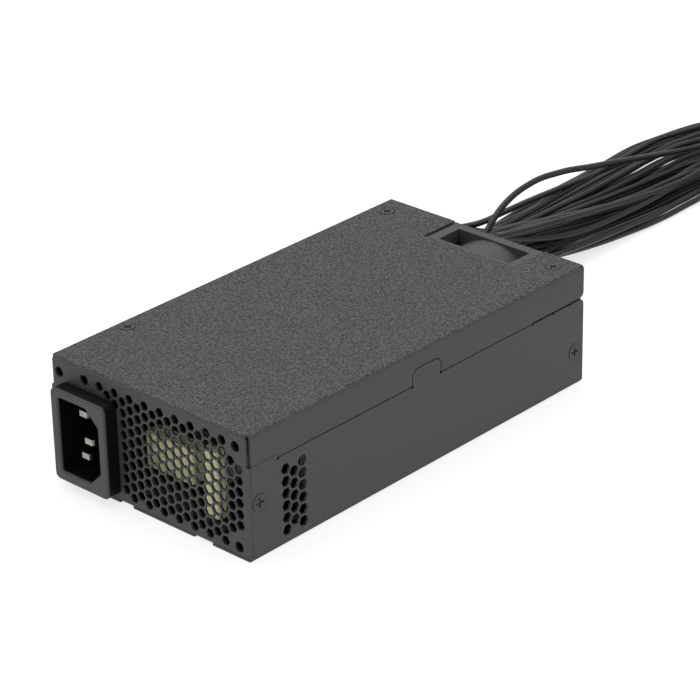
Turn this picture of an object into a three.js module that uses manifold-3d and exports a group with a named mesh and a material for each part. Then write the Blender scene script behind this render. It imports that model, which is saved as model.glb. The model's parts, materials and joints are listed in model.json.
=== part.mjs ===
// A small-form-factor (Flex-ATX) computer power supply unit. Millimetres, +Z up.
// +Y runs from the mains inlet to the fan and +X is to the right of someone who faces the inlet.
// The origin is the centre of the case's footprint, on the surface that the case stands on.

import * as THREE from 'three';
import { mergeVertices } from 'three/addons/utils/BufferGeometryUtils.js';
import Module from 'manifold-3d';

const wasm = await Module();
wasm.setup();

// ---------------------------------------------------------------- driving dimensions

const WIDTH = 81.5; // Flex-ATX case
const DEPTH = 150;
const HEIGHT = 40.5;
const SHEET = 0.8; // steel sheet
const BEND = 1.2; // outer radius of a bend
const GAP = 0.3; // clearance between pieces that meet

const SIDE = WIDTH / 2; // outer face of the right wall
const FRONT = -DEPTH / 2; // outer face of the inlet wall
const REAR = DEPTH / 2; // outer face of the fan wall
const INNER_SIDE = SIDE - SHEET;
const INNER_FRONT = FRONT + SHEET;
const INNER_REAR = REAR - SHEET;
const INNER_TOP = HEIGHT - SHEET;

const SEAM = 29.45; // height of the seam between cover flange and tray wall
const FRONT_SEAM = 30.55; // the same seam in front of the small relief hole
const SEAM_STEP = -63; // y of that relief hole
const FACE_BOTTOM = SHEET + 0.15; // lower edge of the inlet wall, just above the floor sheet
const TAB = { low: -5.6, high: 7, top: 34.6, corner: 2.5 }; // tongue of the tray wall in the cover flange

const VENT = { flats: 2.95, rise: 3.62, run: 3.145, firstX: -10.45, topZ: 36.3 };
const SIDE_VENT = { flats: 3.2, rise: 3.96, run: 3.4, firstY: -60.1, topZ: 24.5 };

const FAN = { x: 7.15, z: 20.3, size: 40, low: 59.9, high: 74.1, bore: 18.6, screwPitch: 32 };
const FAN_WINDOW = { low: -12.4, high: 24.9, front: 59.9 }; // opening of the cover over the fan
const FAN_FLOOR_CLEARANCE = 0.5;

const BOARD = { low: 4.6, high: 6.2, side: 38.4, front: -72, rear: 57 };
const ON_BOARD = BOARD.high + 0.05; // where parts stand on the board

const INLET = { low: -35.7, high: -12.6, bottom: 2.9, top: 33.4, proud: 5.4 };
const SOCKET = { low: -32.6, high: -15.7, bottom: 6.2, top: 30.7, floor: -62.5 };
const EXIT = { low: -37.6, high: -15.4, bottom: 6, top: 35 }; // cable opening in the fan wall

const STRAND = 5.5; // diameter of a bunch of wires
const CONNECTOR_FACE = 190; // y where the wires enter the 24-pin connector

// ---------------------------------------------------------------- solids

function solid(geometry) {
  geometry.deleteAttribute('normal');
  geometry.deleteAttribute('uv');
  const merged = mergeVertices(geometry, 1e-5);
  return new wasm.Manifold(new wasm.Mesh({
    numProp: 3,
    vertProperties: new Float32Array(merged.attributes.position.array),
    triVerts: new Uint32Array(merged.index.array),
  }));
}

function join(pieces) {
  return pieces.reduce((whole, piece) => whole.add(piece));
}

function cut(body, tools) {
  return tools.reduce((whole, tool) => whole.subtract(tool), body);
}

// Each argument is a [low, high] pair.
function box(x, y, z) {
  const geometry = new THREE.BoxGeometry(x[1] - x[0], y[1] - y[0], z[1] - z[0]);
  geometry.translate((x[0] + x[1]) / 2, (y[0] + y[1]) / 2, (z[0] + z[1]) / 2);
  return solid(geometry);
}

// A shape from corners [x, y, fillet radius]; a corner with no radius stays sharp.
function outline(corners, steps = 4) {
  const points = [];
  corners.forEach(([x, y, radius = 0], index) => {
    const corner = new THREE.Vector2(x, y);
    if (radius === 0) {
      points.push(corner);
      return;
    }
    const before = corners.at(index - 1);
    const after = corners[(index + 1) % corners.length];
    const back = new THREE.Vector2(before[0] - x, before[1] - y).normalize();
    const ahead = new THREE.Vector2(after[0] - x, after[1] - y).normalize();
    const half = Math.acos(back.dot(ahead)) / 2;
    const reach = radius / Math.tan(half);
    const centre = back.clone().add(ahead).normalize().multiplyScalar(radius / Math.sin(half)).add(corner);
    const start = back.multiplyScalar(reach).add(corner).sub(centre);
    const end = ahead.multiplyScalar(reach).add(corner).sub(centre);
    const sweep = Math.sign(start.cross(end)) * (Math.PI - 2 * half);
    for (let step = 0; step <= steps; step += 1) {
      const turned = start.clone().rotateAround(new THREE.Vector2(), (sweep * step) / steps);
      points.push(turned.add(centre));
    }
  });
  return new THREE.Shape(points);
}

function rectangle(x, y, radius = 0, steps = 4) {
  const corners = [[x[0], y[0]], [x[1], y[0]], [x[1], y[1]], [x[0], y[1]]];
  return outline(corners.map(([u, v]) => [u, v, radius]), steps);
}

// A prism's shape is drawn in (y, z) for axis x, in (x, z) for axis y and in (x, y) for axis z.
const AXES = {
  x: new THREE.Matrix4().makeBasis(
    new THREE.Vector3(0, 1, 0), new THREE.Vector3(0, 0, 1), new THREE.Vector3(1, 0, 0)),
  y: new THREE.Matrix4().makeBasis(
    new THREE.Vector3(1, 0, 0), new THREE.Vector3(0, 0, 1), new THREE.Vector3(0, -1, 0)),
  z: new THREE.Matrix4(),
};

function prism(axis, shape, low, high) {
  const geometry = new THREE.ExtrudeGeometry(shape, { depth: high - low, bevelEnabled: false });
  geometry.applyMatrix4(AXES[axis]);
  const shift = { x: [low, 0, 0], y: [0, high, 0], z: [0, 0, low] }[axis];
  geometry.translate(...shift);
  return solid(geometry);
}

// A round or many-sided rod or cone; centre is (y, z), (x, z) or (x, y) for axis x, y or z.
function rod(axis, centre, radius, low, high, sides = 16, endRadius = radius, turn = 0) {
  const geometry = new THREE.CylinderGeometry(endRadius, radius, high - low, sides);
  geometry.rotateY(turn);
  const middle = (low + high) / 2;
  if (axis === 'x') {
    geometry.rotateZ(-Math.PI / 2);
    geometry.translate(middle, centre[0], centre[1]);
  } else if (axis === 'y') {
    geometry.translate(centre[0], middle, centre[1]);
  } else {
    geometry.rotateX(Math.PI / 2);
    geometry.translate(centre[0], centre[1], middle);
  }
  return solid(geometry);
}

function ring(axis, centre, inner, outer, low, high, sides = 24) {
  const hole = rod(axis, centre, inner, low - 1, high + 1, sides);
  return rod(axis, centre, outer, low, high, sides).subtract(hole);
}

function mirrored(body) {
  return body.mirror([1, 0, 0]);
}

// ---------------------------------------------------------------- materials

const MATERIALS = {
  black_coat: { color: 0x3a3a3b, roughness: 0.55, metalness: 0.3 },
  screw_black: { color: 0x1a1a1b, roughness: 0.4, metalness: 0.7 },
  black_plastic: { color: 0x1d1d1f, roughness: 0.6, metalness: 0 },
  nylon_black: { color: 0x161617, roughness: 0.45, metalness: 0 },
  wire_black: { color: 0x121213, roughness: 0.5, metalness: 0 },
  tinned_pin: { color: 0xc2c2c0, roughness: 0.25, metalness: 1 },
  board_green: { color: 0x1f4a2b, roughness: 0.5, metalness: 0 },
  brass_standoff: { color: 0xb08d3f, roughness: 0.35, metalness: 1 },
  insulator: { color: 0x2b2b2b, roughness: 0.4, metalness: 0 },
  yellow_tape: { color: 0xc9be5a, roughness: 0.45, metalness: 0 },
  ferrite: { color: 0x35363a, roughness: 0.6, metalness: 0 },
  heatsink: { color: 0x9a9c9f, roughness: 0.4, metalness: 1 },
  epoxy_black: { color: 0x151515, roughness: 0.5, metalness: 0 },
  capacitor_sleeve: { color: 0x202838, roughness: 0.35, metalness: 0 },
  copper_coil: { color: 0xa4562c, roughness: 0.3, metalness: 0.9 },
  fuse_glass: { color: 0xcfd6d2, roughness: 0.1, metalness: 0 },
};

const unit = new THREE.Group();

function addGeometry(name, material, geometry) {
  const mesh = new THREE.Mesh(geometry, new THREE.MeshStandardMaterial(MATERIALS[material]));
  mesh.name = name;
  unit.add(mesh);
  return mesh;
}

function add(name, material, body) {
  const { vertProperties, triVerts } = body.getMesh();
  const geometry = new THREE.BufferGeometry();
  geometry.setAttribute('position', new THREE.BufferAttribute(vertProperties, 3));
  geometry.setIndex(new THREE.BufferAttribute(triVerts, 1));
  return addGeometry(name, material, geometry);
}

// ---------------------------------------------------------------- screws

// Built along +Z with the head's face at z = 0, then turned and placed by its mesh.
const SIDE_SCREW = { head: 2.75, shank: 1.4, length: 3.4, recess: 3.2 };
const COVER_SCREW = { head: 2.3, shank: 1.2, length: 5, recess: 2.7 };
const SINK_DEPTH = 0.75;

function countersunkScrew(size) {
  const slot = size.recess / 2;
  const blade = 0.35;
  return cut(join([
    rod('z', [0, 0], size.shank, -SINK_DEPTH, -0.05, 16, size.head),
    rod('z', [0, 0], size.shank, -size.length, -SINK_DEPTH + 0.1, 8),
  ]), [
    box([-slot, slot], [-blade, blade], [-0.5, 1]),
    box([-blade, blade], [-slot, slot], [-0.5, 1]),
  ]);
}

// The cone-shaped hole that such a head sits in; face is the outer face and sign its outward direction.
function countersink(axis, centre, size, face, sign) {
  const wide = size.head + 0.45;
  const narrow = size.shank + 0.45;
  const inner = face - sign * SHEET;
  if (sign > 0) {
    return rod(axis, centre, narrow, inner, face, 16, wide);
  }
  return rod(axis, centre, wide, face, inner, 16, narrow);
}

const SIDE_SCREWS = [[-70.9, 18.1], [71, 11.9]]; // y, z on both sides
const COVER_SCREWS = [[-36.3, -47.6], [-34.3, 66.7], [33.9, 68.1]]; // x, y

function addScrews() {
  COVER_SCREWS.forEach(([x, y], index) => {
    const screw = add(`cover_screw_${index + 1}`, 'screw_black', countersunkScrew(COVER_SCREW));
    screw.position.set(x, y, HEIGHT);
  });
  SIDE_SCREWS.forEach(([y, z], index) => {
    [1, -1].forEach((sign, side) => {
      const name = `side_screw_${index * 2 + side + 1}`;
      const screw = add(name, 'screw_black', countersunkScrew(SIDE_SCREW));
      screw.position.set(sign * SIDE, y, z);
      screw.rotation.y = (sign * Math.PI) / 2;
    });
  });
}

// ---------------------------------------------------------------- case

// Six-sided holes with flat tops, columns half a pitch apart in height.
function frontVents() {
  const radius = VENT.flats / Math.sqrt(3);
  const holes = [];
  const hole = (x, z) => holes.push(rod('y', [x, z], radius, FRONT - 1, INNER_FRONT + 1, 6, radius, Math.PI / 6));
  for (let column = 0; column <= 15; column += 1) {
    const odd = column % 2 === 0;
    const first = odd ? VENT.topZ - VENT.rise / 2 : VENT.topZ;
    const trimTop = { 14: 1, 15: 2 }[column] ?? 0; // fewer holes beside the screw holes at the right edge
    const rows = { 14: 7, 15: 6 }[column] ?? (odd ? 9 : 10);
    for (let row = trimTop; row < trimTop + rows; row += 1) {
      hole(VENT.firstX + VENT.run * column, first - VENT.rise * row);
    }
  }
  [[-1, 0], [-1, 1], [-2, 0.5], [-3, 0]].forEach(([column, row]) => {
    hole(VENT.firstX + VENT.run * column, VENT.topZ - VENT.rise * row);
  });
  return holes;
}

function sideVents(low, high) {
  const radius = SIDE_VENT.flats / Math.sqrt(3);
  const holes = [];
  [6, 5, 6].forEach((rows, column) => {
    const first = SIDE_VENT.topZ - (column === 1 ? SIDE_VENT.rise / 2 : 0);
    for (let row = 0; row < rows; row += 1) {
      const centre = [SIDE_VENT.firstY + SIDE_VENT.run * column, first - SIDE_VENT.rise * row];
      holes.push(rod('x', centre, radius, low, high, 6, radius, Math.PI / 6));
    }
  });
  return holes;
}

function tongue(clearance) {
  const low = TAB.low - clearance;
  const high = TAB.high + clearance;
  const top = TAB.top + clearance;
  const corner = TAB.corner + clearance;
  return [[low, 0], [low, top, corner], [high, top, corner], [high, 0]].map(([y, z, r]) => [y, z || SEAM, r]);
}

function coverFlange() {
  const bottom = SEAM + 0.15;
  const rearBottom = SEAM + 0.4;
  const notch = tongue(GAP).map(([y, z, r]) => [y, z === SEAM ? bottom : z, r]);
  const shape = outline([
    [INNER_FRONT + GAP, FRONT_SEAM + 0.05],
    [SEAM_STEP, FRONT_SEAM + 0.05],
    [SEAM_STEP, bottom],
    ...notch,
    [50, bottom],
    [50, rearBottom],
    [REAR, rearBottom, 1.8],
    [REAR, INNER_TOP - 0.4],
    [INNER_FRONT + GAP, INNER_TOP - 0.4],
  ], 5);
  return prism('x', shape, INNER_SIDE, SIDE);
}

// Top and front of the cover in one sheet; the side flanges hang from its edges.
function coverShell() {
  const across = outline([
    [-SIDE, 0], [SIDE, 0], [SIDE, HEIGHT, BEND], [-SIDE, HEIGHT, BEND],
  ]);
  const along = outline([[FRONT, 0], [REAR, 0], [REAR, HEIGHT], [FRONT, HEIGHT, BEND]]);
  const outer = prism('y', across, FRONT, REAR).intersect(prism('x', along, -SIDE, SIDE));
  const inner = box([-INNER_SIDE, INNER_SIDE], [INNER_FRONT, REAR + 1], [-1, INNER_TOP]);
  const top = outer.subtract(inner).intersect(
    box([-SIDE, SIDE], [FRONT, REAR], [INNER_TOP - 0.8, HEIGHT]));
  const face = box([-SIDE, SIDE], [FRONT, INNER_FRONT], [FACE_BOTTOM, INNER_TOP]);
  return top.add(face);
}

function chamferedSocket(grow) {
  return outline([
    [SOCKET.low - grow, SOCKET.bottom - grow, 0.8],
    [SOCKET.high - 4.6 + grow, SOCKET.bottom - grow, 0.8],
    [SOCKET.high + grow, SOCKET.bottom + 4.5 - grow, 0.8],
    [SOCKET.high + grow, SOCKET.top - 4.8 + grow, 0.8],
    [SOCKET.high - 5 + grow, SOCKET.top + grow, 0.8],
    [SOCKET.low - grow, SOCKET.top + grow, 0.8],
  ], 2);
}

const PANEL_HOLES = [[35.7, 36], [35.9, 3.6], [-37.1, 35.5], [-26.3, 36.4]]; // threaded, 6-32
const PANEL_HOLE_RADIUS = 1.7;

function makeCover() {
  const flange = coverFlange();
  const rail = box([INNER_SIDE - GAP - SHEET, INNER_SIDE - GAP], [INNER_FRONT - 0.4, -66], [2, 29]);
  const neckHole = rectangle([-33.9, -14.1], [5.2, 32.2], 0.6, 1);
  const shell = join([coverShell(), flange, mirrored(flange), rail, mirrored(rail)]);
  const cornerRelief = box([INNER_SIDE - 0.5, SIDE + 1], [FRONT - 1, FRONT + 1.1], [INNER_TOP - 0.4, HEIGHT + 1]);
  const cornerSlot = box([INNER_SIDE, SIDE + 1], [INNER_FRONT, INNER_FRONT + GAP], [0, INNER_TOP]);
  const faceStep = box([INNER_SIDE - 0.1, SIDE + 1], [FRONT - 1, INNER_FRONT + GAP], [FRONT_SEAM, INNER_TOP]);
  const [frontScrew] = SIDE_SCREWS;
  return cut(shell, [
    cornerRelief,
    mirrored(cornerRelief),
    cornerSlot,
    mirrored(cornerSlot),
    faceStep,
    mirrored(faceStep),
    prism('y', neckHole, FRONT - 1, INNER_FRONT + 1),
    box([FAN_WINDOW.low, FAN_WINDOW.high], [FAN_WINDOW.front, REAR + 1], [INNER_TOP - 1, HEIGHT + 1]),
    rod('x', frontScrew, SIDE_SCREW.shank + 0.4, -SIDE, SIDE, 10),
    ...PANEL_HOLES.map((at) => rod('y', at, PANEL_HOLE_RADIUS, FRONT - 1, INNER_FRONT + 0.1, 12)),
    ...COVER_SCREWS.map((at) => countersink('z', at, COVER_SCREW, HEIGHT, 1)),
    ...frontVents(),
  ]);
}

function trayWall() {
  const top = SEAM - 0.15;
  const rearTop = SEAM - 0.2;
  const shape = outline([
    [INNER_FRONT + 0.1, BEND - 0.2],
    [REAR, BEND - 0.2],
    [REAR, rearTop, 1.8],
    [50, rearTop],
    [50, top],
    ...tongue(0).reverse().map(([y, z, r]) => [y, z === SEAM ? top : z, r]),
    [SEAM_STEP, top],
    [SEAM_STEP, FRONT_SEAM - 0.05],
    [INNER_FRONT + 0.1, FRONT_SEAM - 0.05],
  ], 5);
  const reliefs = [[SEAM_STEP, SEAM - 0.25], [TAB.low - 0.2, SEAM], [TAB.high + 0.1, SEAM], [50, SEAM],
    [60.2, SEAM], [68.4, SEAM]];
  const wall = prism('x', shape, INNER_SIDE, SIDE);
  return cut(wall, [
    ...reliefs.map((at) => rod('x', at, 0.6, INNER_SIDE - 1, SIDE + 1, 8)),
    ...SIDE_SCREWS.map((at) => countersink('x', at, SIDE_SCREW, SIDE, 1)),
    ...sideVents(INNER_SIDE - 1, SIDE + 1),
  ]);
}

// The floor sheet ends flush with the inlet wall, save for two shallow notches.
function trayFloor() {
  const across = outline([[-SIDE, 0, BEND], [SIDE, 0, BEND], [SIDE, HEIGHT], [-SIDE, HEIGHT]]);
  const along = outline([[FRONT, 0], [REAR, 0, BEND], [REAR, HEIGHT], [FRONT, HEIGHT]]);
  const outer = prism('y', across, FRONT, REAR).intersect(prism('x', along, -SIDE, SIDE));
  const inner = box([-INNER_SIDE, INNER_SIDE], [FRONT - 1, INNER_REAR], [SHEET, HEIGHT + 1]);
  const floor = outer.subtract(inner).intersect(box([-SIDE, SIDE], [FRONT, REAR], [0, BEND]));
  const fanClearance = box([FAN.x - FAN.size / 2 - GAP, FAN.x + FAN.size / 2 + GAP],
    [FAN.low - GAP, INNER_REAR], [-1, SHEET + 1]);
  const underFace = box([-SIDE - 1, SIDE + 1], [FRONT - 1, INNER_FRONT + 0.1], [SHEET, HEIGHT]);
  const notches = [[-13.5, -8], [17.5, 25]].map((x) => box(x, [FRONT - 1, -72.5], [-1, SHEET + 1]));
  return cut(floor, [fanClearance, underFace, ...notches]);
}

// Slots of the finger guard, stamped in rings and broken by four spokes.
function guardSlots() {
  const centre = [FAN.x, FAN.z];
  const rings = [4.8, 9.2, 13.6].map((inner) => (
    ring('y', centre, inner, inner + 3, INNER_REAR - 1, REAR + 1, 20)));
  const spoke = box([-FAN.size / 2, FAN.size / 2], [INNER_REAR - 2, REAR + 2], [-0.9, 0.9]);
  const spokes = [45, 135].map((angle) => spoke.rotate([0, angle, 0]).translate([FAN.x, 0, FAN.z]));
  return cut(join(rings), spokes);
}

function fanScrewPlaces() {
  const half = FAN.screwPitch / 2;
  return [[-1, -1], [1, -1], [1, 1], [-1, 1]].map(([u, v]) => [FAN.x + u * half, FAN.z + v * half]);
}

function fanWall() {
  const edge = INNER_SIDE - GAP;
  const top = INNER_TOP - GAP;
  const shape = outline([
    [-edge, 0.4], [edge, 0.4], [edge, top],
    [FAN_WINDOW.high - GAP, top], [FAN_WINDOW.high - GAP, HEIGHT - 0.3],
    [FAN_WINDOW.low + GAP, HEIGHT - 0.3], [FAN_WINDOW.low + GAP, top],
    [-edge, top],
  ]);
  return cut(prism('y', shape, INNER_REAR, REAR), [
    guardSlots(),
    prism('y', rectangle([EXIT.low, EXIT.high], [EXIT.bottom, EXIT.top], 1.5, 2), INNER_REAR - 1, REAR + 1),
    ...fanScrewPlaces().map((at) => rod('y', at, 1.9, INNER_REAR - 1, REAR + 1, 10)),
  ]);
}

// Tabs inside the case that the cover screws and the rear side screws bite into.
function trayTabs() {
  const tabTop = INNER_TOP - GAP;
  const tab = (x, y) => box(x, y, [tabTop - SHEET, tabTop]);
  const rearRail = box([INNER_SIDE - GAP - SHEET, INNER_SIDE - GAP], [65, INNER_REAR + 0.1], [5, 19]);
  const earY = [-52, -43];
  const earOuter = -INNER_SIDE + GAP;
  const tabs = join([
    tab([-38.5, -30.5], [62.5, INNER_REAR + 0.1]),
    tab([30, 38], [63.5, INNER_REAR + 0.1]),
    rearRail,
    mirrored(rearRail),
    box([-INNER_SIDE - 0.4, earOuter + SHEET], earY, [22, 28]),
    box([earOuter, earOuter + SHEET], earY, [22, tabTop]),
    tab([earOuter, -32], earY),
  ]);
  const [, rearScrew] = SIDE_SCREWS;
  return cut(tabs, [
    rod('x', rearScrew, SIDE_SCREW.shank + 0.4, -INNER_SIDE, INNER_SIDE, 10),
    ...COVER_SCREWS.map((at) => rod('z', at, COVER_SCREW.shank + 0.4, tabTop - 2, tabTop + 1, 10)),
  ]);
}

function makeTray() {
  const wall = trayWall();
  return join([trayFloor(), wall, mirrored(wall), fanWall(), trayTabs()]);
}

// ---------------------------------------------------------------- mains inlet

const PINS = {
  inlet_pin_line: [-26.15, 25.7],
  inlet_pin_neutral: [-26.15, 11.7],
  inlet_pin_earth: [-22.15, 18.7],
};
const PIN = { wide: 4, thick: 2, tip: -76.4, earthTip: -78.4, tag: -50 };

function makeInlet() {
  const bezel = prism('y', rectangle([INLET.low, INLET.high], [INLET.bottom, INLET.top], 2),
    FRONT - INLET.proud, FRONT - 0.05);
  const neck = prism('y', rectangle([-33.6, -14.4], [5.5, 31.9], 0.6, 1), FRONT - 1, -58);
  const pinHole = ([x, z]) => box([x - PIN.wide / 2 - GAP, x + PIN.wide / 2 + GAP], [SOCKET.floor - 1, -57],
    [z - PIN.thick / 2 - GAP, z + PIN.thick / 2 + GAP]);
  return cut(join([bezel, neck]), [
    prism('y', chamferedSocket(0), FRONT - INLET.proud - 1, SOCKET.floor),
    ...Object.values(PINS).map(pinHole),
  ]);
}

function makePin([x, z], tip) {
  const half = PIN.wide / 2;
  const blade = outline([
    [x - half, PIN.tag], [x - half, tip + 0.8], [x - half + 0.5, tip],
    [x + half - 0.5, tip], [x + half, tip + 0.8], [x + half, PIN.tag],
  ]);
  return prism('z', blade, z - PIN.thick / 2, z + PIN.thick / 2);
}

// ---------------------------------------------------------------- board and its parts

const STANDOFFS = [[-34, -46], [34, -67], [-34, 52], [33, 52]];

function addBoard() {
  const sheetHoles = STANDOFFS.map((at) => rod('z', at, 3.2, 0, 3, 12));
  const inletNotch = box([-60, -14.1], [-80, -49.5], [0, 20]);
  add('insulator_sheet', 'insulator', cut(
    box([-BOARD.side, BOARD.side], [BOARD.front, BOARD.rear], [SHEET + 0.1, SHEET + 0.5]), sheetHoles));
  add('main_board', 'board_green', cut(
    box([-BOARD.side, BOARD.side], [BOARD.front, BOARD.rear], [BOARD.low, BOARD.high]), [inletNotch]));
  STANDOFFS.forEach((at, index) => {
    add(`board_standoff_${index + 1}`, 'brass_standoff', rod('z', at, 2.7, SHEET + 0.05, BOARD.low - 0.05, 6));
  });
}

function sinkWithFins(x, y, fins, outward) {
  const base = box(x, y, [ON_BOARD, 34]);
  const pitch = (34 - ON_BOARD) / fins;
  const blades = Array.from({ length: fins }, (_, index) => {
    const low = ON_BOARD + pitch * index + pitch / 4;
    return box(outward > 0 ? [x[1] - 0.1, x[1] + 4] : [x[0] - 4, x[0] + 0.1], y, [low, low + 1.4]);
  });
  return join([base, ...blades]);
}

// A wound ring with a bump for every turn of wire.
function toroid(outer, inner, thick, turns) {
  const core = ring('z', [0, 0], inner + 0.6, outer - 0.6, -thick / 2 + 0.6, thick / 2 - 0.6, 16);
  const bump = box([inner, outer], [-0.8, 0.8], [-thick / 2, thick / 2]);
  const bumps = Array.from({ length: turns }, (_, index) => bump.rotate([0, 0, (index * 360) / turns]));
  return join([core, ...bumps]);
}

function addPrimarySide() {
  add('x_capacitor', 'yellow_tape', prism('z', rectangle([-14.1, 5.9], [-63.5, -57.5], 0.8, 1), 7.6, 19.4));
  add('line_capacitor', 'yellow_tape', prism('z', rectangle([18.2, 24.4], [-71.2, -67.4], 0.8, 1), ON_BOARD, 28));
  const choke = add('common_mode_choke', 'yellow_tape', toroid(9.6, 4.6, 7.4, 9));
  choke.position.set(2, -47, 16);
  choke.rotation.y = Math.PI / 2;
  add('fuse', 'fuse_glass', rod('y', [10.5, ON_BOARD + 2.7], 2.6, -56, -36, 12));
  add('bridge_rectifier', 'epoxy_black', prism('x', rectangle([-42, -23], [ON_BOARD + 2, 24], 1, 1), 26.5, 30.2));
  add('primary_heatsink', 'heatsink', sinkWithFins([30.6, 32.6], [-44, 12], 5, 1));
  add('bulk_capacitor', 'capacitor_sleeve', join([
    rod('z', [-22, -32], 11, ON_BOARD, 36, 24),
    rod('z', [-22, -32], 10.2, 35.9, 36.6, 24),
  ]));
}

function addSecondarySide() {
  const core = rectangle([-6, 21], [7.4, 34], 0.6, 1);
  const windowHole = rectangle([-1, 16], [12.4, 29], 0.6, 1);
  add('transformer_core', 'ferrite', prism('y', core, -12, 5).subtract(prism('y', windowHole, -13, 6)));
  add('transformer_winding', 'yellow_tape', prism('y', rectangle([-0.7, 15.7], [12.7, 28.7], 2.5, 2), -19, 12));
  add('secondary_heatsink', 'heatsink', sinkWithFins([-33, -31], [-6, 38], 5, -1));
  const choke = add('output_choke', 'copper_coil', toroid(9, 4.2, 8.4, 9));
  choke.position.set(-17, 27, ON_BOARD + 4.5);
  [[4, 24], [16, 26], [5, 38]].forEach((at, index) => {
    add(`output_capacitor_${index + 1}`, 'capacitor_sleeve', join([
      rod('z', at, 5, ON_BOARD, 26, 16),
      rod('z', at, 4.4, 25.9, 26.4, 16),
    ]));
  });
  add('control_board', 'board_green', box([25.5, 27], [18, 50], [ON_BOARD, 32]));
}

// ---------------------------------------------------------------- fan

function fanFrame() {
  const half = FAN.size / 2;
  const centre = [FAN.x, FAN.z];
  const bottom = FAN_FLOOR_CLEARANCE;
  const square = rectangle([FAN.x - half, FAN.x + half], [bottom, FAN.z + half], 2.3);
  const plate = (low, high) => prism('y', square, low, high);
  const tube = rod('y', centre, FAN.bore + 1, FAN.low, FAN.high, 28);
  const post = 5.4;
  const corners = [[-1, -1], [1, -1], [1, 1], [-1, 1]].map(([u, v]) => {
    const x = [FAN.x + u * half, FAN.x + u * (half - post)].sort((a, b) => a - b);
    const z = [FAN.z + v * half, FAN.z + v * (half - post)].sort((a, b) => a - b);
    return box(x, [FAN.low, FAN.high], z).intersect(plate(FAN.low, FAN.high));
  });
  const bore = rod('y', centre, FAN.bore, FAN.low - 1, FAN.high + 1, 28);
  const shell = cut(join([plate(71.4, FAN.high), plate(FAN.low, 61.4), tube, ...corners]), [bore]);
  const arm = box([-FAN.bore - 0.4, FAN.bore + 0.4], [71.6, FAN.high], [-1, 1]);
  const arms = [20, 110].map((angle) => arm.rotate([0, angle, 0]).translate([FAN.x, 0, FAN.z]));
  const motorPlate = rod('y', centre, 10.6, 71.6, FAN.high, 24);
  const lip = box([FAN_WINDOW.high - GAP, FAN.x + half + 1], [FAN.low - 1, FAN.high + 1], [INNER_TOP - GAP, HEIGHT]);
  return cut(join([shell, ...arms, motorPlate]), [
    lip,
    rod('y', centre, 1.6, FAN.low, FAN.high + 1, 10),
    ...fanScrewPlaces().map((at) => rod('y', at, 1.9, FAN.low - 1, FAN.high + 1, 6)),
  ]);
}

// A thin blade that twists from root to tip; the fan turns about Y.
function fanBlade(angle) {
  const root = 10.4;
  const tip = 17.9;
  const geometry = new THREE.BoxGeometry(tip - root, 0.9, 9.2, 2, 1, 3);
  const place = geometry.attributes.position;
  for (let index = 0; index < place.count; index += 1) {
    const radius = place.getX(index) + (root + tip) / 2;
    const across = place.getY(index);
    const chord = place.getZ(index);
    const pitch = THREE.MathUtils.degToRad(THREE.MathUtils.mapLinear(radius, root, tip, 52, 34));
    const camber = 0.03 * chord * chord;
    const along = (chord * Math.cos(pitch) - (across + camber) * Math.sin(pitch)) / radius;
    const y = 66.2 + chord * Math.sin(pitch) + (across + camber) * Math.cos(pitch);
    place.setXYZ(index, radius * Math.cos(angle + along), y, radius * Math.sin(angle + along));
  }
  return solid(geometry);
}

function fanRotor() {
  const cup = rod('y', [0, 0], 10.8, 60.3, 70.8, 20).subtract(rod('y', [0, 0], 9.7, 61.6, 72, 20));
  const shaft = rod('y', [0, 0], 1, 61.5, 73, 10);
  const blades = Array.from({ length: 7 }, (_, index) => fanBlade((index * 2 * Math.PI) / 7));
  return join([cup, shaft, ...blades]).translate([FAN.x, 0, FAN.z]);
}

function fanStator() {
  const poles = [0, 90].map((angle) => (
    box([-8.6, 8.6], [64, 69.5], [-2, 2]).rotate([0, angle, 0]).translate([FAN.x, 0, FAN.z])));
  const hub = rod('y', [FAN.x, FAN.z], 4, 63, 71.2, 16);
  return cut(join([...poles, hub]), [rod('y', [FAN.x, FAN.z], 1.5, 60, 72, 10)]);
}

function addFan() {
  add('fan_frame', 'black_plastic', fanFrame());
  add('fan_rotor', 'black_plastic', fanRotor());
  add('fan_stator', 'copper_coil', fanStator());
  fanScrewPlaces().forEach(([x, z], index) => {
    const screw = cut(join([
      rod('y', [x, z], 3, REAR + 0.1, REAR + 1.5, 16, 2.2),
      rod('y', [x, z], 1.5, 66, REAR + 0.2, 8),
    ]), [
      box([x - 1.5, x + 1.5], [REAR + 0.8, REAR + 3], [z - 0.35, z + 0.35]),
      box([x - 0.35, x + 0.35], [REAR + 0.8, REAR + 3], [z - 1.5, z + 1.5]),
    ]);
    add(`fan_screw_${index + 1}`, 'screw_black', screw);
  });
}

// ---------------------------------------------------------------- cables

function tubeAlong(points, diameter, sides, steps) {
  const curve = new THREE.CatmullRomCurve3(points.map((point) => new THREE.Vector3(...point)));
  const section = new THREE.Shape(Array.from({ length: sides }, (_, index) => {
    const angle = (index * 2 * Math.PI) / sides;
    return new THREE.Vector2((Math.cos(angle) * diameter) / 2, (Math.sin(angle) * diameter) / 2);
  }));
  return new THREE.ExtrudeGeometry(section, { extrudePath: curve, steps, curveSegments: 1, bevelEnabled: false });
}

function cableGrommet() {
  const flange = rectangle([EXIT.low - 1.2, EXIT.high + 1.2], [EXIT.bottom - 1.2, EXIT.top + 1.2], 2.4, 2);
  const neck = rectangle([EXIT.low + 0.2, EXIT.high - 0.2], [EXIT.bottom + 0.2, EXIT.top - 0.2], 1.4, 2);
  const throat = rectangle([EXIT.low + 1.1, EXIT.high - 1.1], [EXIT.bottom + 1.1, EXIT.top - 1.1], 1, 2);
  return prism('y', flange, REAR + 0.05, REAR + 1.1)
    .add(prism('y', neck, INNER_REAR - 0.9, REAR + 0.2))
    .subtract(prism('y', throat, INNER_REAR - 2, REAR + 2));
}

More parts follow.
